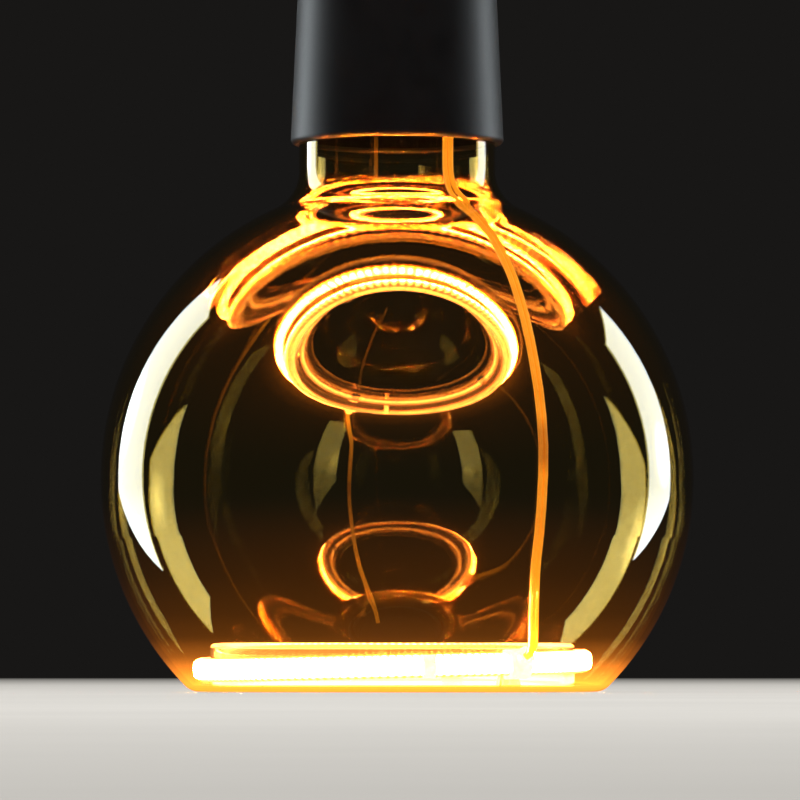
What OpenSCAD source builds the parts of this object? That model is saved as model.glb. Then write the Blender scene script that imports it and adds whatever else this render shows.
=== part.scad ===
// LED globe bulb with a flat end. A tinted blown-glass ball is cut off flat below its middle,
// and a clear hoop stands on the flat with a lit silicone tube glued round it. A twin lead runs
// from the tube up the glass to the driver, in a moulded housing with an E27 Edison screw cap.
// Millimetres. The origin is the middle of the flat glass end, and +Z runs up to the cap.

/* [Glass globe] */
// Outer diameter of the glass ball
globe_d = 125; // [120:1:132]
// Thickness of the blown glass
glass_wall = 1.2; // [0.9:0.1:1.6]
// Height of the ball's centre above its flat end
globe_centre_h = 45; // [43:0.5:47]
// Radius of the rounded edge between the flat end and the ball
base_edge_r = 4.2; // [3:0.1:6]
// Outer diameter of the neck
neck_d = 41.5; // [39:0.5:44]
// Radius of the hollow curve between the ball and the neck
neck_fillet_r = 9; // [6:0.5:12]
// Length of straight neck that shows below the housing
neck_show = 5.5; // [3:0.5:10]
// Length of neck inside the housing
neck_seat = 8.5; // [6:0.5:10]

/* [Light ring] */
// Width of the silicone tube, across the ring
tube_w = 3.5; // [3.2:0.1:4]
// Height of the silicone tube
tube_h = 4.6; // [4.2:0.1:5.2]
// Width of the channel that holds the lit strip
channel_w = 2; // [1.8:0.1:2.2]
// Height of the channel
channel_h = 3.1; // [2.8:0.1:3.4]
// Gap between the tube and the flat glass at the ring's middle
ring_lift = 2.1; // [1.5:0.1:3]
// Gap between the tube and the ball, level with the ring
ring_margin = 5; // [3.5:0.5:8]
// Slope of the ring as it was glued in, higher on the +X side, in degrees
ring_tilt = 1.3; // [0:0.1:1.5]
// How far to one side of the globe's axis the ring was set, along X
ring_shift = -1; // [-1.5:0.1:1.5]
// Direction from the axis in which the tube's two ends meet, in degrees from +X
seam_azimuth = -79.5; // [-85:0.5:-70]
// Gap between the tube's two ends
tube_end_gap = 2.6; // [1.5:0.1:4]
// Length of the seam's plug inside each end of the tube
plug_l = 1.2; // [0.8:0.1:2]
// Wall of the clear hoop that the tube is glued round
carrier_wall = 2.1; // [1.5:0.1:2.6]
// Height of the hoop
carrier_h = 8.5; // [7:0.1:9.5]
// Thickness of the silicone under the hoop
carrier_lift = 0.4; // [0.2:0.1:0.8]
// Width of the flexible strip, which stands on edge
strip_w = 2.4; // [2:0.1:2.6]
// Thickness of the flexible strip
strip_t = 0.3; // [0.2:0.05:0.4]
// Number of chips on the strip
chip_count = 160; // [120:1:190]
// Length of one chip along the strip
chip_l = 0.9; // [0.6:0.1:1.1]
// Width of one chip across the strip
chip_w = 0.7; // [0.5:0.1:1]
// Height of one chip
chip_h = 0.35; // [0.2:0.05:0.4]
// Width of the phosphor layer over the chips
phosphor_w = 1.7; // [1.4:0.1:1.9]
// Thickness of the phosphor layer
phosphor_t = 0.5; // [0.3:0.05:0.6]
// Direction from the ring's middle in which the lead goes in, in degrees from +X
feed_azimuth = -51.5; // [-56:0.5:-47]
// Wall of the boot moulded on the tube where the lead goes in
boot_wall = 0.7; // [0.5:0.1:1]
// Length of the boot's saddle along the tube
boot_l = 5; // [4:0.5:8]
// Length of the boot round the lead, outside the tube
boot_reach = 2.4; // [1.5:0.1:3.5]
// Slope at which the lead goes in, in degrees
boot_slope = 24; // [10:1:40]
// Number of silicone pads under the ring
pad_count = 3; // [3:1:6]
// Diameter of one pad on the glass
pad_d = 6; // [4.5:0.5:7]

/* [Twin lead] */
// Diameter of one insulated core
core_d = 1.04; // [0.8:0.02:1.06]
// Distance between the two cores' centres
core_pitch = 1.1; // [1.08:0.02:1.3]
// How much further apart the cores lie where the lead leaves the neck
core_parting = 0.7; // [0:0.1:1]
// Gap between the middle of the lead and the glass that it lies on
lead_off_glass = 1; // [0.9:0.1:1.5]
// Height above the ring at which the lead leaves the glass
lead_leave_h = 14; // [12:0.5:18]

/* [Housing] */
// Wall of the housing at its rim, outside the cement
rim_wall = 1.5; // [1.2:0.1:2.5]
// Thickness of the cement round the glass neck
cement_t = 0.25; // [0.15:0.05:0.5]
// Radius of the rounded outer edge of the rim
rim_round = 1.1; // [0.5:0.1:1.4]
// Height of the housing from its rim to its top
housing_h = 36; // [34:0.5:44]
// How much the housing's radius shrinks from its rim to its shoulder
housing_taper = 1.4; // [0.8:0.1:2]
// Radius of the shoulder at the housing's top
shoulder_r = 5; // [3:0.5:6]
// Wall of the housing above the neck
housing_wall = 1.8; // [1.4:0.1:2.2]
// Number of ribs inside the housing that stop the driver cover
rib_count = 4; // [3:1:6]
// Thickness of one rib
rib_t = 1.2; // [0.8:0.1:2]
// Depth of one rib
rib_depth = 1.5; // [1.2:0.1:2]

/* [Screw cap] */
// Diameter over the thread's crests
thread_crest_d = 26.3; // [26.15:0.05:26.45]
// Diameter at the thread's roots
thread_root_d = 24.1; // [23.96:0.02:24.26]
// Pitch of the thread
thread_pitch = 3.629; // [3.6:0.001:3.65]
// Number of turns of the thread
thread_turns = 4.2; // [3.5:0.1:4.4]
// Diameter of the plain skirt below the thread
skirt_d = 26.6; // [26.3:0.1:28]
// Height of the plain skirt
skirt_h = 3; // [2:0.1:4]
// Thickness of the rolled metal shell
shell_t = 0.4; // [0.3:0.05:0.5]
// Diameter of the shell's open top
shell_mouth_d = 21.4; // [20.4:0.1:22.4]
// Height of the cone from the last turn to the open top
shell_cone_h = 2.6; // [2:0.1:3.5]
// Height of the collar that the shell stands on
collar_h = 1.2; // [0.6:0.1:2]
// How far the collar stands out past the shell
collar_lip = 1; // [0.4:0.1:2]
// Diameter of the hole through the housing's spigot
spigot_bore_d = 17; // [14:0.5:19]
// Height of the insulator's cone above the shell
insulator_h = 4.1; // [3:0.1:5]
// Depth of the insulator inside the shell
insulator_depth = 3; // [2.5:0.1:4]
// Diameter of the centre contact
contact_d = 9.4; // [8:0.2:11]
// Thickness of the centre contact
contact_t = 1; // [0.8:0.1:1.4]

/* [Driver] */
// Thickness of the cover over the neck
cover_t = 1.5; // [1.2:0.1:2]
// Thickness of the circuit board
board_t = 1.4; // [1:0.1:1.8]
// Height of the posts between cover and board
post_h = 4.2; // [3.6:0.1:5]
// Diameter of one post
post_d = 3.2; // [2.4:0.1:4]
// Space round the board, inside the ribs
board_gap = 0.5; // [0.3:0.1:1]
// Outer diameter of the grommet where it passes the cover
grommet_d = 4.4; // [4:0.1:5]
// Outer diameter of the grommet's flange
flange_d = 6.4; // [5.6:0.1:7]
// Diameter and height of the input capacitor
input_capacitor_size = [8, 12]; // [6:0.5:13]
// Diameter and height of the output capacitor
output_capacitor_size = [6.3, 9]; // [5:0.1:11]
// Outer diameter and height of the choke's core
choke_size = [8, 9]; // [6:0.5:10]
// Diameter and length of the fusible resistor
resistor_size = [3.2, 8]; // [2.4:0.1:10]
// Length, width and height of the film capacitor
film_capacitor_size = [10, 4.4, 8]; // [3:0.1:10]
// Length, width and height of the bridge rectifier
bridge_size = [6.4, 5, 2.4]; // [2:0.1:7]
// Length, width and height of the driver chip
driver_ic_size = [4.9, 3.9, 1.5]; // [1.2:0.1:6]
// Length, width and height of the lead's connector
connector_size = [5.2, 4, 2.6]; // [2.4:0.1:6]
// Diameter of the two wires to the cap
wire_d = 1.2; // [0.9:0.1:1.4]

/* [Hidden] */
$fn = 64;
// Smallest gap that keeps two fitted pieces apart
slip = 0.1;

// Glass globe
globe_r = globe_d / 2;
neck_r = neck_d / 2;
edge_x = sqrt((globe_r - base_edge_r) ^ 2 - (globe_centre_h - base_edge_r) ^ 2);
edge_angle = atan2(base_edge_r - globe_centre_h, edge_x);
fillet_x = neck_r + neck_fillet_r;
fillet_z = globe_centre_h + sqrt((globe_r + neck_fillet_r) ^ 2 - fillet_x ^ 2);
fillet_angle = atan2(fillet_z - globe_centre_h, fillet_x);
rim_z = fillet_z + neck_show;
neck_top_z = rim_z + neck_seat;

// Light ring
ring_z = glass_wall + ring_lift + tube_h / 2;
ring_r = sqrt((globe_r - glass_wall) ^ 2 - (globe_centre_h - ring_z) ^ 2) - ring_margin - tube_w / 2;
carrier_r = ring_r - tube_w / 2 - slip;
carrier_z = glass_wall + carrier_lift;
pad_circle_r = min(ring_r, edge_x - pad_d / 2 - slip - abs(ring_shift));
end_angle = tube_end_gap / 2 / ring_r * 180 / PI;
plug_angle = (tube_end_gap / 2 + plug_l) / ring_r * 180 / PI;
strip_end_angle = plug_angle + 2 * slip / ring_r * 180 / PI;
channel_corner = 0.4;
strip_x = slip + strip_t - channel_w / 2;
chip_x = strip_x + chip_h;

// Where the lead goes into the tube
feed_r = ring_r + strip_x + slip;
feed_z = ring_z + feed_r * cos(feed_azimuth) * sin(ring_tilt);
feed_hole_r = (core_pitch + core_d) / 2 + slip;
feed_angle = (feed_hole_r + chip_l / 2 + slip) / ring_r * 180 / PI;
feed_point = [ring_shift + feed_r * cos(feed_azimuth), feed_r * sin(feed_azimuth), feed_z];
boot_angle = boot_l / ring_r * 180 / PI;

// Housing
bore_r = neck_r + cement_t;
rim_r = bore_r + rim_wall;
housing_top_z = rim_z + housing_h;
shoulder_x = rim_r - housing_taper;
inner_top_z = housing_top_z - housing_wall;
slope = housing_taper / (housing_h - rim_round - shoulder_r);
inner_foot_r = rim_r - slope * (neck_seat - rim_round) - housing_wall;
inner_shoulder_x = shoulder_x - housing_wall;

// Screw cap
shell_z = housing_top_z + collar_h;
root_r = thread_root_d / 2;
crest_r = thread_crest_d / 2;
neckdown_h = 1;
thread_z = skirt_h + neckdown_h;
thread_h = thread_turns * thread_pitch;
shell_h = thread_z + thread_h + shell_cone_h;
mouth_z = shell_z + shell_h;
mouth_r = shell_mouth_d / 2;
spigot_r = root_r - shell_t - slip;
spigot_top_z = shell_z + thread_z + 2 * thread_pitch;
spigot_bore_r = spigot_bore_d / 2;
insulator_top_z = mouth_z + insulator_h;
insulator_top_r = contact_d / 2 + 0.6;
contact_top_z = insulator_top_z + contact_t;
rivet_r = 1.4;

// Driver
cover_z = neck_top_z + 0.3;
cover_top_z = cover_z + cover_t;
cover_r = inner_foot_r - slope * (cover_top_z - neck_top_z) - slip;
board_z = cover_top_z + post_h;
board_top_z = board_z + board_t;
board_r = inner_shoulder_x - rib_depth - board_gap;
post_circle_r = board_r - post_d;
hook_t = 1;
choke_flange = 1.2;
insulator_z = mouth_z - insulator_depth;

// Where the parts stand on the board
input_capacitor_at = [-8.5, 6];
output_capacitor_at = [9.2, 8.2];
choke_at = [0.8, 10.8];
driver_ic_at = [2.8, -4.6];
bridge_at = [-11.6, -3];
resistor_at = [5.6, -12.2];
film_capacitor_at = [-5.6, -10.6];

// Where the lead runs: straight down the neck from its connector on the board
lead_at = [10.5, -10.8];
lead_down = [
    [lead_at[0], lead_at[1], board_z - 1.2], [lead_at[0], lead_at[1], cover_z - 2],
    [10.45, lead_at[1], rim_z + 1], [10.4, lead_at[1], fillet_z + 1.6], [10.5, -10.9, fillet_z - 1.7],
    [10.9, -11.6, fillet_z - 4], [11.5, -12.9, fillet_z - 6], [12.7, -15.5, fillet_z - 8],
    [14.3, -19.3, fillet_z - 10.1]
];
// Then along the inside of the glass: the share of the way down it, and the direction
lead_lay_r = globe_r - glass_wall - lead_off_glass;
lead_leave_angle = asin((ring_z + lead_leave_h - globe_centre_h) / lead_lay_r);
lead_lay = [
    [0.05, -56.4], [0.115, -57.4], [0.195, -58.4], [0.28, -59.3], [0.38, -60.2], [0.48, -60.7],
    [0.59, -60.8], [0.7, -60.9], [0.82, -61.2], [0.92, -61.1], [0.985, -60.2]
];
// Then in to the tube: outwards from it, along it and above it
lead_in = [[11.4, -4.3, 9.8], [8.8, -2.2, 6.2], [6.7, -0.7, 3.4], [4.6, 0, 1.9], [2.2, 0, 1], [0, 0, 0]];
lead_route = concat(
    lead_down,
    [for (p = lead_lay) let (up = fillet_angle + (lead_leave_angle - fillet_angle) * p[0]) [
        lead_lay_r * cos(up) * cos(p[1]), lead_lay_r * cos(up) * sin(p[1]), globe_centre_h + lead_lay_r * sin(up)
    ]],
    [for (p = lead_in) feed_point + [
        p[0] * cos(feed_azimuth) - p[1] * sin(feed_azimuth), p[0] * sin(feed_azimuth) + p[1] * cos(feed_azimuth), p[2]
    ]]
);
lead_top = lead_route[0];
// Height at which the two cores part as the lead bends out of the neck
lead_bend_z = fillet_z - 8;

// Where the two wires run from the board to the cap
live_route = [
    [4, 1.5, board_top_z], [3.6, 1.4, board_top_z + 8], [1.5, 0.6, inner_top_z],
    [0, 0, spigot_top_z], [0, 0, insulator_z]
];
neutral_route = [
    [-4, -1, board_top_z], [-4.4, -0.9, board_top_z + 8], [-5.6, -0.3, inner_top_z],
    [-6.6, 0, spigot_top_z - 6], [-9, 0, spigot_top_z - 3.2],
    [wire_d / 2 - spigot_r - slip, 0, spigot_top_z - 1.4], [wire_d / 2 - spigot_r - slip, 0, spigot_top_z]
];

// Points along an arc in the plane of a section, from one angle to another
function arc(x, z, r, from, to, steps) = [
    for (i = [0:steps]) let (a = from + (to - from) * i / steps) [x + r * cos(a), z + r * sin(a)]
];

// Sphere, rounded edge and hollow neck curve of the glass, moved inwards by depth
function glass_skin(depth, top) = concat(
    [[0, depth]],
    arc(edge_x, base_edge_r, base_edge_r - depth, -90, edge_angle, 8),
    arc(0, globe_centre_h, globe_r - depth, edge_angle + 2, fillet_angle - 2, 52),
    arc(fillet_x, fillet_z, neck_fillet_r + depth, 180 + fillet_angle, 180, 10),
    [[neck_r - depth, top], [0, top]]
);

// Eased step from 0 to 1 as x goes from a to b
function ease(a, b, x) = let (t = min(1, max(0, (x - a) / (b - a)))) t * t * (3 - 2 * t);

// Point at u from 0 to 1 along a smooth curve through all the points of a route
function on_route(p, u) = let (
    last = len(p) - 1,
    i = min(last - 1, floor(u * last)),
    t = u * last - i,
    a = p[max(0, i - 1)], b = p[i], c = p[i + 1], d = p[min(last, i + 2)]
) (2 * b + (c - a) * t + (2 * a - 5 * b + 4 * c - d) * t ^ 2 + (3 * b - a - 3 * c + d) * t ^ 3) / 2;

function along_route(p, u) = let (
    d = on_route(p, min(1, u + 0.002)) - on_route(p, max(0, u - 0.002))
) d / norm(d);

// Closed skin over rings of points, each ring with the same number of points
module skin_over(rings) {
    n = len(rings[0]);
    last = len(rings) - 1;
    polyhedron(
        points = [for (ring = rings) each ring],
        faces = concat(
            [[for (k = [0:n - 1]) k]],
            [for (j = [0:last - 1], k = [0:n - 1], half = [0, 1]) let (
                a = j * n + k, b = j * n + (k + 1) % n
            ) half == 0 ? [a, b + n, b] : [a, a + n, b + n]],
            [[for (k = [n - 1:-1:0]) last * n + k]]
        )
    );
}

// Round wire along a route
module wire(route, d, rings, sides = 8) {
    skin_over([for (j = [0:rings]) let (
        u = j / rings,
        c = on_route(route, u),
        t = along_route(route, u),
        x = cross(t, abs(t[1]) < 0.9 ? [0, 1, 0] : [1, 0, 0]),
        x1 = x / norm(x),
        y1 = cross(t, x1)
    ) [for (k = [0:sides - 1]) let (a = 360 * k / sides) c + d / 2 * (cos(a) * x1 + sin(a) * y1)]]);
}

// One core of the twin lead: it keeps beside the route, and turns to lie flat on the glass
module core(side) {
    rings = 46;
    sides = 8;
    skin_over([for (j = [0:rings]) let (
        u = j / rings,
        c = on_route(lead_route, u),
        t = along_route(lead_route, u),
        turn = ease(0.2, 0.4, u) * (90 + atan2(c[1], c[0])),
        flat = [cos(turn), sin(turn), 0],
        across = flat - (flat * t) * t,
        x1 = across / norm(across),
        y1 = cross(t, x1),
        part = core_parting * max(0, 1 - abs(c[2] - lead_bend_z) / 3.5),
        centre = c + side * (core_pitch + part) / 2 * x1
    ) [for (k = [0:sides - 1]) let (a = 360 * k / sides) centre + core_d / 2 * (cos(a) * x1 + sin(a) * y1)]]);
}

// Puts what is drawn round the ring's own middle at the ring's height and slope
module on_ring() {
    translate([ring_shift, 0, ring_z]) rotate([0, -ring_tilt, 0]) children();
}

// Sweeps a section round the ring, from angle gap after the seam to the same before it
module round_ring(gap) {
    on_ring() rotate([0, 0, seam_azimuth + gap])
        rotate_extrude(angle = 360 - 2 * gap) translate([ring_r, 0]) children();
}

// Sweeps a section along the ring for an angle to each side of a direction
module along_ring(azimuth, half_angle) {
    on_ring() rotate([0, 0, azimuth - half_angle])
        rotate_extrude(angle = 2 * half_angle) translate([ring_r, 0]) children();
}

// Oblong with rounded corners, about its middle
module oblong(w, h, corner) {
    square([w - 2 * corner, h], center = true);
    if (h > 2 * corner) square([w, h - 2 * corner], center = true);
    for (x = [-1, 1], y = [-1, 1]) translate([x * (w / 2 - corner), y * (h / 2 - corner)]) circle(corner);
}

// Section of the tube's outside, grown by a margin all round
module tube_section(margin = 0) {
    oblong(tube_w + 2 * margin, tube_h + 2 * margin, tube_w / 2 + margin - slip);
}

// Puts what is drawn along Z on the line that the lead goes in by, from the strip outwards
module on_feed() {
    translate(feed_point) rotate([0, 90 - boot_slope, feed_azimuth]) children();
}

module feed_hole() {
    on_feed() translate([0, 0, -slip]) cylinder(r = feed_hole_r, h = tube_w + boot_reach + 4);
}

module glass_globe() {
    color("goldenrod", 0.35) rotate_extrude() difference() {
        polygon(glass_skin(0, neck_top_z));
        polygon(glass_skin(glass_wall, neck_top_z + 1));
    }
}

// Clear moulded hoop that the tube is glued round
module ring_carrier() {
    edge = 0.3;
    color("lightyellow", 0.4) translate([ring_shift, 0, carrier_z]) rotate_extrude() polygon([
        [carrier_r - carrier_wall, edge], [carrier_r - carrier_wall + edge, 0], [carrier_r - edge, 0],
        [carrier_r, edge], [carrier_r, carrier_h - edge], [carrier_r - edge, carrier_h],
        [carrier_r - carrier_wall + edge, carrier_h], [carrier_r - carrier_wall, carrier_h - edge]
    ]);
}

module ring_diffuser() {
    color("orange", 0.8) difference() {
        round_ring(end_angle) difference() {
            tube_section();
            oblong(channel_w, channel_h, channel_corner);
        }
        feed_hole();
    }
}

module led_strip() {
    color("white") round_ring(strip_end_angle)
        translate([strip_x - strip_t, -strip_w / 2]) square([strip_t, strip_w]);
}

// The chips leave room where the lead meets the strip
module led_chips() {
    step = (360 - 2 * strip_end_angle) / chip_count;
    color("gold") on_ring() for (i = [0:chip_count - 1]) let (a = seam_azimuth + strip_end_angle + (i + 0.5) * step)
        if (abs(a - feed_azimuth) > feed_angle) rotate([0, 0, a])
            translate([ring_r + strip_x, -chip_l / 2, -chip_w / 2]) cube([chip_h, chip_l, chip_w]);
}

module phosphor_strip() {
    color("gold") difference() {
        round_ring(strip_end_angle)
            translate([chip_x + slip / 2, -phosphor_w / 2]) square([phosphor_t, phosphor_w]);
        feed_hole();
    }
}

// Plug between the tube's two ends, with a tongue in each channel
module ring_joint() {
    fit = slip / 2 / ring_r * 180 / PI;
    color("orange") {
        along_ring(seam_azimuth, end_angle - fit) tube_section();
        along_ring(seam_azimuth, plug_angle) oblong(channel_w - slip, channel_h - slip, channel_corner);
    }
}

// Each pad is a dab on the glass that has taken the round underside of what it holds
module ring_pads() {
    color("lightyellow", 0.6) for (i = [0:pad_count - 1]) difference() {
        translate([ring_shift, 0, glass_wall]) rotate([0, 0, feed_azimuth + i * 360 / pad_count])
            translate([pad_circle_r, 0])
            cylinder(r1 = pad_d / 2, r2 = pad_d / 2 - 1, h = ring_lift + tube_h * 0.35);
        on_ring() rotate_extrude() translate([ring_r, 0]) tube_section(i == 0 ? boot_wall : 0);
        translate([ring_shift, 0, carrier_z]) difference() {
            cylinder(r = carrier_r, h = carrier_h);
            translate([0, 0, -1]) cylinder(r = carrier_r - carrier_wall, h = carrier_h + 2);
        }
    }
}

// The boot is one moulding: a saddle on the tube's outside, and a sleeve round the lead
module lead_boot() {
    color("orange") difference() {
        union() {
            along_ring(feed_azimuth, boot_angle / 2) tube_section(boot_wall);
            on_feed() cylinder(r = feed_hole_r + boot_wall, h = tube_w / 2 - strip_x + boot_reach);
        }
        along_ring(feed_azimuth, boot_angle) {
            tube_section(slip / 4);
            translate([-tube_w - boot_wall, -tube_h]) square([tube_w + boot_wall - tube_w / 4, 2 * tube_h]);
        }
        feed_hole();
    }
}

module positive_lead() {
    color("darkorange") core(1);
}

module negative_lead() {
    color("darkorange") core(-1);
}

// Outside and inside of the housing in one section, with the collar and the spigot
module base_housing() {
    skirt_seat_r = skirt_d / 2 - shell_t - slip;
    collar_r = skirt_d / 2 + collar_lip;
    slot_w = wire_d + 2 * slip;
    round_in = shoulder_r / 2;
    color("#1b1b1d") difference() {
        union() {
            rotate_extrude() polygon(concat(
                [[bore_r, rim_z + 0.4], [bore_r + 0.4, rim_z]],
                arc(rim_r - rim_round, rim_z + rim_round, rim_round, -90, 0, 5),
                arc(shoulder_x - shoulder_r, housing_top_z - shoulder_r, shoulder_r, 0, 90, 10),
                [[collar_r, housing_top_z], [collar_r, shell_z], [skirt_seat_r, shell_z]],
                [[skirt_seat_r, shell_z + skirt_h - 0.4], [spigot_r, shell_z + skirt_h]],
                [[spigot_r, spigot_top_z], [spigot_bore_r, spigot_top_z], [spigot_bore_r, inner_top_z]],
                arc(inner_shoulder_x - round_in, inner_top_z - round_in, round_in, 90, 0, 5),
                [[inner_foot_r, neck_top_z], [bore_r, neck_top_z]]
            ));
            for (i = [0:rib_count - 1]) rotate([0, 0, (i + 0.5) * 360 / rib_count])
                translate([inner_shoulder_x - rib_depth, -rib_t / 2, cover_top_z])
                    cube([rib_depth + 0.75 * housing_wall, rib_t, inner_top_z - round_in - cover_top_z]);
        }
        translate([-spigot_r - 1, -slot_w / 2, spigot_top_z - 5])
            cube([spigot_r + 1, slot_w, 6]);
    }
}

module neck_cement() {
    cement_z = rim_z + 1;
    color("ivory") translate([0, 0, cement_z]) difference() {
        cylinder(r = bore_r, h = neck_top_z - cement_z);
        translate([0, 0, -1]) cylinder(r = neck_r, h = neck_top_z - cement_z + 2);
    }
}

// Disc with a locating ring in the neck, three posts under the board and three snap hooks
module driver_cover() {
    barb = 0.7;
    hook_w = 3;
    over_board = post_h + board_t;
    ring_r_out = neck_r - glass_wall - 3 * slip;
    color("whitesmoke") difference() {
        union() {
            translate([0, 0, cover_z]) cylinder(r = cover_r, h = cover_t);
            translate([0, 0, cover_z - 2]) difference() {
                cylinder(r = ring_r_out, h = 2.5);
                translate([0, 0, -1]) cylinder(r = ring_r_out - 1, h = 3);
            }
            for (i = [0:2]) rotate([0, 0, i * 120]) {
                translate([post_circle_r, 0, cover_top_z - 0.5]) cylinder(d = post_d, h = post_h + 0.5);
                rotate([0, 0, 60]) translate([board_r + slip, hook_w / 2, cover_top_z]) rotate([90, 0, 0])
                    linear_extrude(hook_w) polygon([
                        [0, -0.5], [hook_t, -0.5], [hook_t, over_board + 2], [0.5, over_board + 2],
                        [-barb, over_board + 0.6], [-barb, over_board + slip], [0, over_board + slip]
                    ]);
            }
        }
        translate([lead_top[0], lead_top[1], cover_z - 3]) cylinder(d = grommet_d + slip, h = cover_t + 4);
    }
}

module lead_grommet() {
    color("dimgray") translate([lead_top[0], lead_top[1], cover_z]) difference() {
        union() {
            translate([0, 0, -0.9]) cylinder(d = flange_d, h = 0.9);
            translate([0, 0, -0.5]) cylinder(d = grommet_d, h = cover_t + 1);
        }
        translate([0, 0, -2]) cylinder(d = core_pitch + core_d + slip, h = cover_t + 4);
    }
}

module driver_board() {
    color("seagreen") translate([0, 0, board_z]) cylinder(r = board_r, h = board_t);
}

// Puts a part on the board's top at a place, turned by an angle
module on_board(place, turn = 0) {
    translate([place[0], place[1], board_top_z]) rotate([0, 0, turn]) children();
}

module lead_connector() {
    mouth = connector_size[2] - (board_z - lead_top[2]);
    color("white") translate([lead_top[0], lead_top[1], board_z - connector_size[2]])
        rotate([0, 0, atan2(lead_top[1], lead_top[0]) + 90]) difference() {
            translate([-connector_size[0] / 2, -connector_size[1] / 2, 0]) cube(connector_size);
            translate([0, 0, -1]) cylinder(d = core_pitch + core_d + slip, h = mouth + 1);
        }
}

// Can with a rolled groove over its rubber bung
module capacitor(size) {
    r = size[0] / 2;
    rotate_extrude() polygon(concat(
        [[0, 0], [r - 0.4, 0], [r, 0.4], [r, 1.2]],
        arc(r, 1.7, 0.4, -90, -270, 4),
        arc(r - 0.4, size[1] - 0.4, 0.4, 0, 90, 3),
        [[0, size[1]]]
    ));
}

module input_capacitor() {
    color("#26262c") on_board(input_capacitor_at) capacitor(input_capacitor_size);
}

module output_capacitor() {
    color("#26262c") on_board(output_capacitor_at) capacitor(output_capacitor_size);
}

module choke_core() {
    r = choke_size[0] / 2;
    h = choke_size[1];
    color("#3a3a3c") on_board(choke_at) rotate_extrude() polygon([
        [0, 0], [r, 0], [r, choke_flange], [r / 2, choke_flange], [r / 2, h - choke_flange],
        [r, h - choke_flange], [r, h], [0, h]
    ]);
}

module choke_winding() {
    r = choke_size[0] / 2;
    color("peru") on_board(choke_at) translate([0, 0, choke_flange]) difference() {
        cylinder(r = r - 0.5, h = choke_size[1] - 2 * choke_flange);
        translate([0, 0, -1]) cylinder(r = r / 2, h = choke_size[1]);
    }
}

// Moulded chip package with gull-wing legs along its two long sides
module package(size, legs, leg_w) {
    leg_reach = 0.9;
    translate([-size[0] / 2, -size[1] / 2, 0.15]) cube([size[0], size[1], size[2] - 0.15]);
    for (side = [0, 180], i = [0:legs - 1]) rotate([0, 0, side])
        translate([(i - (legs - 1) / 2) * size[0] / legs - leg_w / 2, size[1] / 2, 0]) rotate([90, 0, 90])
            linear_extrude(leg_w) polygon([
                [-0.3, size[2] / 2], [0.4, size[2] / 2], [0.5, 0.2], [leg_reach, 0.2],
                [leg_reach, 0], [0.25, 0], [0.15, size[2] / 2 - 0.2], [-0.3, size[2] / 2 - 0.2]
            ]);
}

module driver_ic() {
    color("#202022") on_board(driver_ic_at) package(driver_ic_size, 4, 0.42);
}

module bridge_rectifier() {
    color("#202022") on_board(bridge_at, 90) package(bridge_size, 2, 0.8);
}

module fusible_resistor() {
    r = resistor_size[0] / 2;
    color("seagreen") on_board(resistor_at) rotate_extrude() polygon(concat(
        [[0, 0], [r * 0.8, 0], [r, r * 0.4], [r, 1.6], [r * 0.9, 2]],
        [[r * 0.9, resistor_size[1] - 2], [r, resistor_size[1] - 1.6], [r, resistor_size[1] - r * 0.4]],
        [[r * 0.8, resistor_size[1]], [0, resistor_size[1]]]
    ));
}

module film_capacitor() {
    corner = 0.8;
    l = film_capacitor_size[0] / 2 - corner;
    w = film_capacitor_size[1] / 2 - corner;
    color("firebrick") on_board(film_capacitor_at) linear_extrude(film_capacitor_size[2]) polygon(concat(
        arc(l, w, corner, 0, 90, 4), arc(-l, w, corner, 90, 180, 4),
        arc(-l, -w, corner, 180, 270, 4), arc(l, -w, corner, 270, 360, 4)
    ));
}

module live_wire() {
    color("#8a3b1f") wire(live_route, wire_d, 16);
}

module neutral_wire() {
    color("#2b4f8a") wire(neutral_route, wire_d, 20);
}

// How far the thread stands out of its root at a height above the shell's foot
function thread_wave(s, a) = let (
    run_in = thread_pitch / 2,
    swell = ease(thread_z, thread_z + run_in, s)
        * (1 - ease(thread_z + thread_h - run_in, thread_z + thread_h, s))
) swell * (crest_r - root_r) * (1 + cos(360 * (s - thread_z) / thread_pitch - a)) / 2;

function shell_radius(s, a) =
    s <= thread_z ? skirt_d / 2 + (root_r - skirt_d / 2) * ease(skirt_h, thread_z, s)
    : s <= thread_z + thread_h ? root_r + thread_wave(s, a)
    : mouth_r + (root_r - mouth_r) * cos(90 * (s - thread_z - thread_h) / shell_cone_h);

// Rolled metal shell: the knuckle thread climbs right-handed round it, inside and out
module screw_shell() {
    columns = 32;
    rows_per_turn = 7;
    thread_rows = ceil(thread_turns * rows_per_turn);
    heights = concat(
        [0, skirt_h, (skirt_h + thread_z) / 2],
        [for (i = [0:thread_rows]) thread_z + thread_h * i / thread_rows],
        [for (i = [1:4]) thread_z + thread_h + shell_cone_h * i / 4]
    );
    last = len(heights) - 1;
    rows = concat(
        [for (s = heights) [s, 0]],
        [for (i = [last:-1:0]) [heights[i], shell_t]]
    );
    n = len(rows);
    color("silver") translate([0, 0, shell_z]) polyhedron(
        points = [for (row = rows, k = [0:columns - 1]) let (
            a = 360 * k / columns, r = shell_radius(row[0], a) - row[1]
        ) [r * cos(a), r * sin(a), row[0]]],
        faces = [for (j = [0:n - 1], k = [0:columns - 1], half = [0, 1]) let (
            j2 = (j + 1) % n, k2 = (k + 1) % columns,
            a = j * columns + k, b = j * columns + k2, c = j2 * columns + k2, d = j2 * columns + k
        ) half == 0 ? [a, c, b] : [a, d, c]]
    );
}

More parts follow.
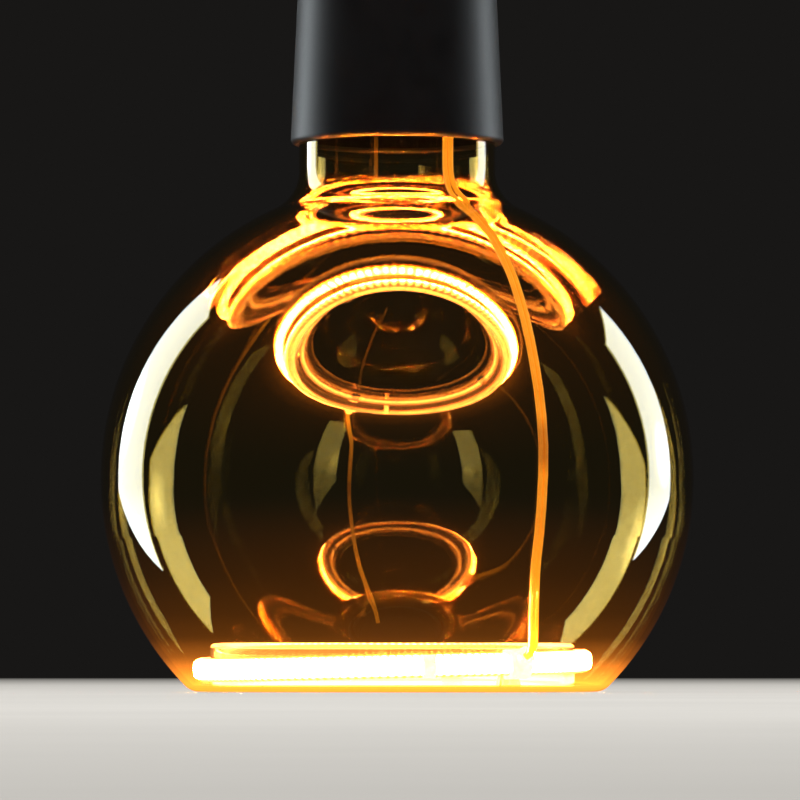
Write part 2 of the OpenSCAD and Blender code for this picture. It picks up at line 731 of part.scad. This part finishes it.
// Dark glass that fills the shell's mouth and carries the centre contact
module cap_insulator() {
    seat_r = mouth_r - shell_t - slip;
    keyed_r = seat_r + 0.6;
    color("#141416") rotate_extrude() polygon(concat(
        [[rivet_r, insulator_z], [keyed_r, insulator_z], [keyed_r, mouth_z - shell_cone_h / 2]],
        [[seat_r, mouth_z - slip], [seat_r, mouth_z + 0.4]],
        [for (t = [0.2:0.2:0.8]) [
            seat_r + (insulator_top_r - seat_r) * sin(90 * t),
            mouth_z + 0.4 + (insulator_h - 0.4) * (1 - cos(90 * t))
        ]],
        [[insulator_top_r, insulator_top_z], [rivet_r, insulator_top_z]]
    ));
}

// Rivet whose head is the contact and whose shank grips the live wire
module centre_contact() {
    edge = contact_t / 2;
    color("silver") rotate_extrude() polygon(concat(
        [[0, insulator_z], [rivet_r, insulator_z], [rivet_r, insulator_top_z]],
        [[contact_d / 2, insulator_top_z]],
        arc(contact_d / 2 - edge, contact_top_z - edge, edge, 0, 90, 5),
        [[0, contact_top_z]]
    ));
}

glass_globe();
ring_carrier();
ring_diffuser();
led_strip();
led_chips();
phosphor_strip();
ring_joint();
ring_pads();
lead_boot();
positive_lead();
negative_lead();
base_housing();
neck_cement();
driver_cover();
lead_grommet();
driver_board();
lead_connector();
bridge_rectifier();
fusible_resistor();
film_capacitor();
input_capacitor();
choke_core();
choke_winding();
driver_ic();
output_capacitor();
live_wire();
neutral_wire();
screw_shell();
cap_insulator();
centre_contact();
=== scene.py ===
import bpy
import math
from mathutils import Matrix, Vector


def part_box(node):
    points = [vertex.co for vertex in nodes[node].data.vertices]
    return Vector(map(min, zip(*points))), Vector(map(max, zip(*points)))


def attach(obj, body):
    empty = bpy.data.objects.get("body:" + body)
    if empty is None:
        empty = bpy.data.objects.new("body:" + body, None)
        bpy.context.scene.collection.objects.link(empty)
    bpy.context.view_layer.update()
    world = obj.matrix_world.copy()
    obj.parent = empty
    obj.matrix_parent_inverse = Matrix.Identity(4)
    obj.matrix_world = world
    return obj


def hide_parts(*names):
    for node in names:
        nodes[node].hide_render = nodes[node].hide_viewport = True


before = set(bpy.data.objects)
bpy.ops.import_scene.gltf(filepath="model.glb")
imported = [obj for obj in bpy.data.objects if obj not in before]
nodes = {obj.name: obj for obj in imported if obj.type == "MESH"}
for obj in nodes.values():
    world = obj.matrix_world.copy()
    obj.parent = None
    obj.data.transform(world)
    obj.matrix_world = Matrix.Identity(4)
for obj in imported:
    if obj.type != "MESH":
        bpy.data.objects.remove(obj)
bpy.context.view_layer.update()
MM = 0.001


# Screw shell
# A thin brass sleeve with the rounded thread rolled into it, nickel-plated after rolling.
# It is pressed onto the housing's spigot and centre-punched round its skirt.
def linear(code):
    """A colour given as a hex code, as linear RGBA."""
    channels = [int(code[i:i + 2], 16) / 255 for i in (1, 3, 5)]
    return [c / 12.92 if c <= 0.04045 else ((c + 0.055) / 1.055) ** 2.4 for c in channels] + [1]


def feed(tree, socket, value):
    """Links an input to another node's output, or sets a plain value on it."""
    if isinstance(value, bpy.types.NodeSocket):
        tree.links.new(value, socket)
    else:
        socket.default_value = value


def feed_all(tree, node, **sockets):
    """Feeds a node's inputs by name. An underscore stands for a space."""
    for name, value in sockets.items():
        feed(tree, node.inputs[name.replace("_", " ")], value)
    return node


def add_node(tree, kind, **sockets):
    return feed_all(tree, tree.nodes.new("ShaderNode" + kind), **sockets)


def start_finish(name):
    """A new material, its node tree, its shader and the piece's own coordinates."""
    finish = bpy.data.materials.new(name)
    finish.use_nodes = True
    tree = finish.node_tree
    place = add_node(tree, "TexCoord").outputs["Object"]
    return finish, tree, tree.nodes["Principled BSDF"], place


def vary(tree, place, dark, light, scale):
    """A colour that drifts from dark to light in soft clouds, and the clouds themselves."""
    cloud = add_node(tree, "TexNoise", Vector=place, Scale=scale, Detail=4, Roughness=0.6).outputs["Fac"]
    ramp = add_node(tree, "ValToRGB", Fac=cloud)
    for element, position, code in zip(ramp.color_ramp.elements, (0.35, 0.65), (dark, light)):
        element.position = position
        element.color = linear(code)
    return ramp.outputs["Color"], cloud


def spread(tree, value, low, high, start=0, end=1):
    """A value's range from start to end, stretched to run from low to high."""
    ranged = add_node(tree, "MapRange", Value=value, From_Min=start, From_Max=end, To_Min=low, To_Max=high)
    return ranged.outputs["Result"]


def raise_grain(tree, shader, height, strength, depth):
    """A fine relief, with its depth in millimetres."""
    bump = add_node(tree, "Bump", Height=height, Strength=strength, Distance=depth * MM)
    feed_all(tree, shader, Normal=bump.outputs["Normal"])


def dress(name, finish):
    nodes[name].data.materials.clear()
    nodes[name].data.materials.append(finish)


# A full metal would show nothing but the dark surround, so the plating is a little less than that.
plating = 0.7
nickel, tree, shader, place = start_finish("rolled nickel plate")
tone, _ = vary(tree, place, "#b9b5ab", "#d9d6cd", scale=90)
drawn = add_node(tree, "Mapping", Vector=place, Scale=(120, 120, 4200))
lines = add_node(tree, "TexNoise", Vector=drawn.outputs["Vector"], Scale=1, Detail=3).outputs["Fac"]
feed_all(tree, shader, Base_Color=tone, Metallic=plating, Roughness=spread(tree, lines, 0.16, 0.36))
raise_grain(tree, shader, lines, strength=0.12, depth=0.04)
dress("screw_shell", nickel)


# Insulator
# Black glass, moulded into the shell's mouth. It is glossy, with the shallow ripples that
# pressed glass keeps from its mould.
def clouded(name, dark, light, scale, rough, grain=None):
    """A finish whose colour, roughness and grain (strength, depth in mm) follow the same clouds."""
    finish, tree, shader, place = start_finish(name)
    tone, cloud = vary(tree, place, dark, light, scale)
    feed_all(tree, shader, Base_Color=tone, Roughness=spread(tree, cloud, *rough))
    if grain:
        raise_grain(tree, shader, cloud, *grain)
    return finish, tree, shader, place


black_glass = clouded(
    "black insulating glass", "#0b0b0e", "#191a20", scale=160, rough=(0.06, 0.16), grain=(0.25, 0.2)
)[0]
dress("cap_insulator", black_glass)

# Centre contact
# A plated brass rivet, brushed round by the tool that heads it. It carries the fine marks
# of use in the lampholder.
rivet, tree, shader, place = start_finish("plated rivet")
tone, _ = vary(tree, place, "#a7a59e", "#d3d0c8", scale=500)
turned = add_node(tree, "TexWave", Vector=place, Scale=900, Distortion=2)
turned.wave_type = "RINGS"
turned.rings_direction = "Z"
marks = turned.outputs["Fac"]
feed_all(tree, shader, Base_Color=tone, Metallic=plating, Roughness=spread(tree, marks, 0.2, 0.4))
raise_grain(tree, shader, marks, strength=0.2, depth=0.03)
dress("centre_contact", rivet)

# Wires to the cap
# Two thin stranded wires in soft insulation, brown for the live side and blue for the
# neutral one, soldered to the board and to the cap.
for name, dark, light in (
    ("live_wire", "#2e1408", "#4a2412"),
    ("neutral_wire", "#0d2350", "#17376f"),
):
    insulation = clouded(
        name + " insulation", dark, light, scale=300, rough=(0.35, 0.55), grain=(0.2, 0.1)
    )[0]
    dress(name, insulation)

# Driver board
# A round glass-fibre board under green solder mask, lacquered over its copper. The weave
# shows faintly through the mask.
mask, tree, shader, place = start_finish("green solder mask")
tone, cloud = vary(tree, place, "#0a3d1d", "#14562b", scale=220)
weave = add_node(tree, "TexChecker", Vector=place, Scale=1300)
woven = add_node(tree, "MixRGB", Fac=0.06, Color1=tone, Color2=weave.outputs["Color"])
feed_all(tree, shader, Base_Color=woven.outputs["Color"], Roughness=spread(tree, cloud, 0.18, 0.34))
raise_grain(tree, shader, weave.outputs["Fac"], strength=0.06, depth=0.05)
dress("driver_board", mask)

# Parts on the board
# Small parts set in the board and soldered: moulded epoxy blocks, sleeved cans, a dipped
# film capacitor, a lacquered resistor, and a ferrite bobbin wound with copper.
for name, dark, light, rough, scale in (
    ("bridge_rectifier", "#08080a", "#16161a", 0.5, 900),
    ("driver_ic", "#09090b", "#17171b", 0.5, 1100),
    ("fusible_resistor", "#2c5238", "#3f6b4b", 0.45, 600),
    ("film_capacitor", "#6e130b", "#8a2114", 0.22, 380),
    ("input_capacitor", "#0c0c12", "#1b1b25", 0.25, 300),
    ("output_capacitor", "#0c0c12", "#1b1b25", 0.25, 300),
    ("choke_core", "#1c1c1e", "#333336", 0.6, 1400),
    ("lead_connector", "#d9d6cc", "#efece4", 0.4, 500),
):
    coat = clouded(
        name + " coat", dark, light, scale, rough=(rough - 0.08, rough + 0.1), grain=(0.25, 0.08)
    )[0]
    dress(name, coat)
copper, tree, shader, place = start_finish("enamelled copper")
tone, _ = vary(tree, place, "#8a3c17", "#b45e2a", scale=240)
feed_all(tree, shader, Base_Color=tone, Metallic=1, Roughness=0.28)
turns = add_node(tree, "TexWave", Vector=place, Scale=3200)
turns.bands_direction = "Z"
raise_grain(tree, shader, turns.outputs["Fac"], strength=0.7, depth=0.12)
dress("choke_winding", copper)

# Driver housing
# One black moulding with a fine spark-eroded grain, drafted towards the cap. Its foot turns
# in to a narrow round lip that the ring lights from below.
housing_plastic, tree, shader, place = start_finish("matte black moulding")
tone, _ = vary(tree, place, "#09090b", "#101012", scale=70)
grain = add_node(tree, "TexNoise", Vector=place, Scale=2600, Detail=3).outputs["Fac"]
feed_all(tree, shader, Base_Color=tone, Roughness=spread(tree, grain, 0.38, 0.52), Specular_IOR_Level=0.65)
raise_grain(tree, shader, grain, strength=0.2, depth=0.05)
dress("base_housing", housing_plastic)

# Driver cover, grommet and cement
# A moulded cover closes the housing over the neck, with a rubber grommet for the lead, and silicone
# cement holds the glass neck in the bore. Cover and cement are white parts dressed near-black, as
# painted shade for the dark inside of the neck.
# The near-black of the cover and the cement is painted shade for the inside of the neck.
for name, dark, light, rough in (
    ("driver_cover", "#101012", "#1c1c1f", 0.85),
    ("lead_grommet", "#1c1c1c", "#2c2c2c", 0.8),
    ("neck_cement", "#161616", "#242424", 0.85),
):
    coat, tree, shader, _ = clouded(
        name + " coat", dark, light, scale=260, rough=(rough - 0.06, rough + 0.08), grain=(0.2, 0.1)
    )
    feed_all(tree, shader, Specular_IOR_Level=0.1)
    dress(name, coat)


# Twin lead
# Two fine cores in soft translucent amber silicone, side by side, laid along the front of the
# glass. A painted glow runs up the silicone from the ring and fades with height, and is dimmer
# between 44 and 56 mm.
def calc(tree, operation, *values):
    """The result of a Math node on one or two values."""
    node = tree.nodes.new("ShaderNodeMath")
    node.operation = operation
    for socket, value in zip(node.inputs, values):
        feed(tree, socket, value)
    return node.outputs["Value"]


def curve(tree, share, stops):
    """Values along a share from 0 to 1, from a list of (share, value) in rising order."""
    ramp = add_node(tree, "ValToRGB", Fac=share)
    elements = ramp.color_ramp.elements
    elements[-1].position = stops[-1][0]
    elements[0].position = stops[0][0]
    for position, _ in stops[1:-1]:
        elements.new(position)
    for element, (_, value) in zip(elements, stops):
        element.color = (value, value, value, 1)
    return ramp.outputs["Color"]


# The height in millimetres at which the share is 1.
wash_top = 130


def wash(tree, place, stops):
    """Values over the height of the globe, from a list of (mm, value)."""
    height = add_node(tree, "SeparateXYZ", Vector=place).outputs["Z"]
    share = spread(tree, height, 0, 1, end=wash_top * MM)
    return curve(tree, share, [(mm / wash_top, value) for mm, value in stops])


lead_glow = 6
sheath, tree, shader, place = clouded(
    "amber silicone sheath", "#c9701f", "#e0862c", scale=260, rough=(0.22, 0.4), grain=(0.15, 0.1)
)
# Painted glow by height: strong at the ring, fading upwards, dimmer between 44 and 56 mm.
painted_glow_low = [(0, 1), (9, 0.8), (16, 0.4), (24, 0.2), (34, 0.12)]
painted_glow_high = [(44, 0.1), (47, 0.03), (53, 0.03), (56, 0.1), (110, 0.14)]
painted_lead_glow = calc(tree, "MULTIPLY", wash(tree, place, painted_glow_low + painted_glow_high), lead_glow)
feed_all(tree, shader, Emission_Color=(1, 0.39, 0.02, 1), Emission_Strength=painted_lead_glow)
dress("positive_lead", sheath)
dress("negative_lead", sheath)


# Clear hoop
# An injection-moulded clear ring that stands on the glass floor on silicone, and carries the
# lit tube glued round it. It carries a painted glow on its surface, strongest at its foot and
# along its round lip, and a painted glow all through its body.
def bow(x, z, r, start, end, steps):
    """Points of an arc round (x, z), between two angles in degrees."""
    turns = [math.radians(start + (end - start) * i / steps) for i in range(steps + 1)]
    return [(x + r * math.cos(a), z + r * math.sin(a)) for a in turns]


def spin_up(name, points, steps, off=0):
    """A turned piece from its profile, radius and height in mm, moved sideways by off."""
    bpy.ops.object.select_all(action="DESELECT")
    bpy.ops.mesh.primitive_plane_add(size=MM)
    piece = bpy.context.object
    piece.name = name
    bpy.ops.object.mode_set(mode="EDIT")
    bpy.ops.mesh.merge(type="CENTER")
    bpy.ops.transform.translate(value=(points[0][0] * MM, 0, points[0][1] * MM))
    for (x0, z0), (x1, z1) in zip(points, points[1:]):
        step = ((x1 - x0) * MM, 0, (z1 - z0) * MM)
        bpy.ops.mesh.extrude_region_move(TRANSFORM_OT_translate={"value": step})
    bpy.ops.mesh.select_all(action="SELECT")
    bpy.ops.mesh.spin(steps=steps, angle=2 * math.pi, center=(0, 0, 0), axis=(0, 0, 1))
    bpy.ops.mesh.select_all(action="SELECT")
    bpy.ops.mesh.remove_doubles(threshold=1e-6)
    bpy.ops.mesh.normals_make_consistent(inside=False)
    bpy.ops.transform.translate(value=(off * MM, 0, 0))
    bpy.ops.object.mode_set(mode="OBJECT")
    bpy.ops.object.shade_smooth_by_angle(angle=math.radians(35))
    return piece


round_steps = 160
hoop_low, hoop_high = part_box("ring_carrier")
hoop_x = (hoop_low.x + hoop_high.x) / 2 / MM
hoop_r = (hoop_high.x - hoop_low.x) / 2 / MM
hoop_foot, hoop_top = hoop_low.z / MM, hoop_high.z / MM
hoop_wall, hoop_lip, hoop_edge = 2.1, 0.95, 0.3
hoop = spin_up(
    "moulded_hoop",
    [(hoop_r - hoop_wall, hoop_foot + hoop_edge), (hoop_r - hoop_wall + hoop_edge, hoop_foot)]
    + [(hoop_r - hoop_edge, hoop_foot), (hoop_r, hoop_foot + hoop_edge)]
    + bow(hoop_r - hoop_lip, hoop_top - hoop_lip, hoop_lip, 0, 90, 8)
    + bow(hoop_r - hoop_wall + hoop_lip, hoop_top - hoop_lip, hoop_lip, 90, 180, 8)
    + [(hoop_r - hoop_wall, hoop_foot + hoop_edge)],
    round_steps,
    hoop_x,
)
surface_glow, inner_glow = 12, 75
acrylic, tree, shader, place = clouded(
    "clear moulded acrylic", "#f4efe4", "#ffffff", scale=120, rough=(0.01, 0.05)
)
feed_all(tree, shader, Transmission_Weight=1, IOR=1.49)
# Painted glow on the surface, by height: at the foot and along the round lip.
painted_hoop_glow = wash(tree, place, [(0, 1), (3, 0.8), (3.9, 0), (hoop_top - 0.9, 0), (hoop_top - 0.2, 0.5)])
painted_hoop_glow = calc(tree, "MULTIPLY", painted_hoop_glow, surface_glow)
feed_all(tree, shader, Emission_Color=(1, 0.34, 0.1, 1), Emission_Strength=painted_hoop_glow)
# Painted glow all through the clear body.
inner = add_node(tree, "Emission", Color=(1, 0.42, 0.2, 1), Strength=inner_glow)
feed_all(tree, tree.nodes["Material Output"], Volume=inner.outputs["Emission"])
hoop.data.materials.append(acrylic)
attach(hoop, "root")
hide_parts("ring_carrier")
hoop.visible_diffuse = False


# Lit tube
# Milky silicone drawn over the strip, lit all along and most of all at its outer edge, where
# the chips face. Over the chips it shows them as a row of bright beads.
def reach(tree, vector):
    """The length of a vector."""
    node = add_node(tree, "VectorMath", Vector=vector)
    node.operation = "LENGTH"
    return node.outputs["Value"]


# The tube's radii are in millimetres. Its centre lies ring_off towards -X, in metres.
ring_glow = 3800
ring_colour = (1, 0.23, 0.065, 1)
ring_r, tube_r = 40.21, 2
ring_off = 0.001
bead_count = 160
between_beads = 0.12
underside = 0.12
lit_silicone, tree, shader, place = start_finish("lit silicone")
tone, _ = vary(tree, place, "#ffa23c", "#ffb65c", scale=300)
xyz = add_node(tree, "SeparateXYZ", Vector=place)
from_axis = calc(tree, "ADD", xyz.outputs["X"], ring_off)
across = add_node(tree, "CombineXYZ", X=from_axis, Y=xyz.outputs["Y"])
ring_turn = calc(tree, "ARCTAN2", xyz.outputs["Y"], from_axis)
bead = calc(tree, "COSINE", calc(tree, "MULTIPLY", ring_turn, bead_count))
beads = spread(tree, bead, between_beads, 1, start=-1)
from_centre = reach(tree, across.outputs["Vector"])
section = spread(tree, from_centre, 0, 1, start=(ring_r - tube_r) * MM, end=(ring_r + tube_r) * MM)
inner_half = [(0, 0.00015), (0.06, 0.00025), (0.14, 0.003), (0.3, 0.015), (0.42, 0.0075)]
outer_half = [(0.5, 0.04), (0.8, 0.06), (0.9, 1), (1, 1)]
profile = curve(tree, section, inner_half + outer_half)
facing = add_node(tree, "SeparateXYZ", Vector=add_node(tree, "NewGeometry").outputs["Normal"]).outputs["Z"]
under = spread(tree, facing, underside, 1, start=-0.7, end=-0.1)
shown = calc(tree, "MULTIPLY", calc(tree, "MULTIPLY", profile, beads), under)
power = calc(tree, "MULTIPLY", shown, ring_glow)
feed_all(tree, shader, Base_Color=tone, Roughness=0.35, Emission_Color=ring_colour, Emission_Strength=power)
dress("ring_diffuser", lit_silicone)

# Seam plug and boot
# Small mouldings of the same silicone, cemented into the tube's ends and over the place
# where the lead goes in. They carry a painted glow, patchy in clouds, for the tube's light.
moulded, tree, shader, place = start_finish("moulded silicone")
tone, cloud = vary(tree, place, "#f0a050", "#ffb668", scale=500)
feed_all(tree, shader, Base_Color=tone, Roughness=spread(tree, cloud, 0.25, 0.45))
# Painted glow, stronger and weaker in clouds.
feed_all(tree, shader, Emission_Color=ring_colour, Emission_Strength=spread(tree, cloud, 20, 60))
dress("ring_joint", moulded)
dress("lead_boot", moulded)

# Strip, chips and phosphor
# A white flexible strip on edge inside the tube, its chips facing outwards under a band of
# yellow phosphor silicone.
film = clouded("white flexible circuit", "#d6d2c6", "#f0eee6", scale=400, rough=(0.35, 0.5))[0]
dress("led_strip", film)
for name, dark, light, strength in (
    ("led_chips", "#ffc163", "#ffd896", 300),
    ("phosphor_strip", "#ffb04a", "#ffc56e", 250),
):
    lit, tree, shader, place = start_finish(name + " light")
    tone, _ = vary(tree, place, dark, light, scale=700)
    feed_all(tree, shader, Base_Color=tone, Emission_Color=tone, Emission_Strength=strength)
    dress(name, lit)
for name in ("ring_diffuser", "ring_joint", "lead_boot", "led_chips", "phosphor_strip"):
    nodes[name].visible_diffuse = False

# Silicone pads
# Dabs of clear silicone under the tube, set soft on the glass floor. They hold the ring a
# little off it.
pads, tree, shader, _ = clouded("clear silicone", "#efe2c8", "#fbf3e2", scale=500, rough=(0.12, 0.3))
feed_all(tree, shader, Transmission_Weight=0.8, IOR=1.41)
dress("ring_pads", pads)

# Glass globe
# One blown ball of amber glass with a pressed flat foot and a drawn neck, about 1.2 mm thick.
# It carries a painted glow outside the ring's radius, strongest at the foot and fading up the
# ball, and it mirrors more strongly in its lower part.
globe_r, wall, globe_h = 62.5, 1.2, 45.0
foot_r, neck_r, curve_r = 4.2, 20.75, 9.0
neck_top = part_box("glass_globe")[1].z / MM
edge_x = math.sqrt((globe_r - foot_r) ** 2 - (globe_h - foot_r) ** 2)
edge_turn = math.degrees(math.atan2(foot_r - globe_h, edge_x))
curve_x = neck_r + curve_r
curve_z = globe_h + math.sqrt((globe_r + curve_r) ** 2 - curve_x ** 2)
curve_turn = math.degrees(math.atan2(curve_z - globe_h, curve_x))
ball_gap = 1.2


def glass_side(depth):
    """The globe's profile from the foot to the neck, at a depth into the glass."""
    return (
        [(0, depth)]
        + bow(edge_x, foot_r, foot_r - depth, -90, edge_turn, 12)
        + bow(0, globe_h, globe_r - depth, edge_turn + ball_gap, curve_turn - ball_gap, 84)
        + bow(curve_x, curve_z, curve_r + depth, 180 + curve_turn, 180, 16)
        + [(neck_r - depth, neck_top)]
    )


globe = spin_up("blown_globe", glass_side(wall) + glass_side(0)[::-1], round_steps)
upper_index, lower_index = 1.9, 2.7
rim_start, rim_full, rim_glow = 0.039, 0.042, 1.6
amber, tree, shader, place = start_finish("amber glass")
feed_all(tree, shader, Base_Color=(1, 1, 1, 1), Roughness=0, Transmission_Weight=1)
low_part = wash(tree, place, [(0, 1), (32, 1), (42, 0.05), (125, 0)])
feed_all(tree, shader, IOR=spread(tree, low_part, upper_index, lower_index))
# Painted glow of the ring's light in the glass, by height and only outside the ring's radius.
foot_glow = [(0, 0.4), (0.7, 0.5), (1.6, 0.6), (4, 0.3), (7, 0.08)]
foot_fade = [(11, 0.018), (16, 0.008), (24, 0.003), (40, 0)]
flat_place = add_node(tree, "VectorMath", Vector=place)
flat_place.operation = "MULTIPLY"
flat_place.inputs[1].default_value = (1, 1, 0)
rim = spread(tree, reach(tree, flat_place.outputs["Vector"]), 0, rim_glow, start=rim_start, end=rim_full)
painted_glass_glow = calc(tree, "MULTIPLY", wash(tree, place, foot_glow + foot_fade), rim)
feed_all(tree, shader, Emission_Color=(1, 0.3, 0.04, 1), Emission_Strength=painted_glass_glow)
tint = add_node(tree, "VolumeAbsorption", Color=(0.955, 0.79, 0.03, 1), Density=600)
feed_all(tree, tree.nodes["Material Output"], Volume=tint.outputs["Volume"])
globe.data.materials.append(amber)
globe.visible_shadow = False
globe.visible_diffuse = False
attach(globe, "root")
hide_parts("glass_globe")

# Floor
# A plain pale sheet, level under the bulb, that darkens into the surround far away. The glass
# neither mirrors it nor shows it from behind, so that the glow reads.
surround = linear("#181716")
fade_start, fade_end = 0.7, 3.5
bpy.ops.object.select_all(action="DESELECT")
bpy.ops.mesh.primitive_plane_add(size=8, location=(0, 0, -0.0002))
floor = bpy.context.object
floor.name = "floor"
bpy.ops.object.transform_apply(location=True)
paper, tree, shader, place = start_finish("pale matt paper")
tone, _ = vary(tree, place, "#cdcbc7", "#d3d1cd", scale=6)
far = spread(tree, reach(tree, place), 0, 1, start=fade_start, end=fade_end)
sweep = add_node(tree, "MixRGB", Fac=far, Color1=tone, Color2=surround)
feed_all(tree, shader, Base_Color=sweep.outputs["Color"], Roughness=1, Specular_IOR_Level=0)
floor.data.materials.append(paper)
floor.visible_glossy = False
floor.visible_transmission = False

# Light and camera
# A soft lamp overhead and a pale surround light the bulb evenly, and small warm lamps stand for
# the ring's own light. Two panels beside the bulb, each brighter round one spot, show only in
# reflections. The camera looks along +Y and slightly up, from just above the floor.
bpy.ops.object.light_add(type="AREA", location=(0, -0.5, 1.3))
overhead = bpy.context.object
overhead.data.shape = "DISK"
overhead.data.size = 1
overhead.data.energy = 9
overhead.rotation_euler = (Vector((0, 0, 0.06)) - overhead.location).to_track_quat("-Z", "Y").to_euler()
overhead.visible_glossy = False
overhead.visible_transmission = False
# A panel's two upright edges are given as x, y, lowest z and highest z.
spot_light, panel_light, spot_reach = 10, 4, 0.07
for name, near_edge, far_edge, spot in (
    ("left_panel", (-0.457, 0.166, -0.131, 0.439), (-0.313, 0.255, 0.038, 0.409), (-0.322, 0.25, 0.14)),
    ("right_panel", (0.543, 0.186, -0.14, 0.398), (0.477, 0.349, 0.02, 0.461), (0.5, 0.292, 0.1)),
):
    mesh = bpy.data.meshes.new(name)
    corners = [(x, y, z) for x, y, low, top in (near_edge, far_edge) for z in (low, top)]
    mesh.from_pydata(corners, [], [(0, 2, 3, 1)])
    panel = bpy.data.objects.new(name, mesh)
    bpy.context.collection.objects.link(panel)
    cloth = bpy.data.materials.new(name + " light")
    cloth.use_nodes = True
    tree = cloth.node_tree
    from_spot = add_node(tree, "VectorMath", Vector=add_node(tree, "TexCoord").outputs["Object"])
    from_spot.operation = "SUBTRACT"
    from_spot.inputs[1].default_value = spot
    shine = spread(tree, reach(tree, from_spot.outputs["Vector"]), spot_light, panel_light, end=spot_reach)
    soft_light = add_node(tree, "Emission", Color=(0.88, 0.96, 1, 1), Strength=shine)
    feed_all(tree, tree.nodes["Material Output"], Surface=soft_light.outputs["Emission"])
    mesh.materials.append(cloth)
    panel.visible_camera = False
    panel.visible_diffuse = False
    panel.visible_shadow = False
ember_count, ember_r, ember_h = 12, 0.0402, 0.0058
for i in range(ember_count):
    a = math.radians(i * 360 / ember_count + 15)
    ember_place = (ember_r * math.cos(a) - ring_off, ember_r * math.sin(a), ember_h)
    bpy.ops.object.light_add(type="POINT", radius=0.002, location=ember_place)
    ember = bpy.context.object
    ember.data.color = (1, 0.36, 0.06)
    ember.data.energy = 0.2
    ember.visible_camera = False
    ember.visible_glossy = False
    ember.visible_transmission = False

# The world lights the object evenly. To the camera, and in gloss and glass, it is the dark
# surround, warmer towards straight down as a painted glow of the ring's light on what lies below.
world = bpy.data.worlds.new("pale surround")
bpy.context.scene.world = world
world.use_nodes = True
tree = world.node_tree
even = feed_all(tree, tree.nodes["Background"], Color=linear("#f4f2ee"), Strength=0.8)
height = add_node(tree, "SeparateXYZ", Vector=add_node(tree, "TexCoord").outputs["Generated"]).outputs["Z"]
# Painted warm glow below the bulb, where the ring's light falls.
painted_glow_below = spread(tree, height, 0, 1, start=-0.15, end=-0.6)
backdrop = add_node(tree, "MixRGB", Fac=painted_glow_below, Color1=surround, Color2=linear("#44250e"))
seen = add_node(tree, "Background", Color=backdrop.outputs["Color"], Strength=1)
rays = add_node(tree, "LightPath").outputs
seen_ray = calc(tree, "MAXIMUM", rays["Is Camera Ray"], rays["Is Glossy Ray"])
seen_ray = calc(tree, "MAXIMUM", seen_ray, rays["Is Transmission Ray"])
choose = add_node(tree, "MixShader", Fac=seen_ray)
feed(tree, choose.inputs[1], even.outputs["Background"])
feed(tree, choose.inputs[2], seen.outputs["Background"])
feed_all(tree, tree.nodes["World Output"], Surface=choose.outputs["Shader"])

view_width = 0.1689
camera = bpy.data.objects.new("camera", bpy.data.cameras.new("camera"))
bpy.context.collection.objects.link(camera)
camera.location = (0.0006, -1.25, 0.004)
aim = Vector((0.0006, 0, 0.0615)) - camera.location
camera.rotation_euler = aim.to_track_quat("-Z", "Y").to_euler()
camera.data.sensor_width = 36
camera.data.lens = camera.data.sensor_width * aim.length / view_width
camera.data.clip_start = 0.01
bpy.context.scene.camera = camera
bpy.context.scene.view_settings.view_transform = "Standard"
# The ring's images in the glass are small shares of a very bright light, which a clamp would dim.
bpy.context.scene.cycles.sample_clamp_direct = 0
bpy.context.scene.cycles.sample_clamp_indirect = 0
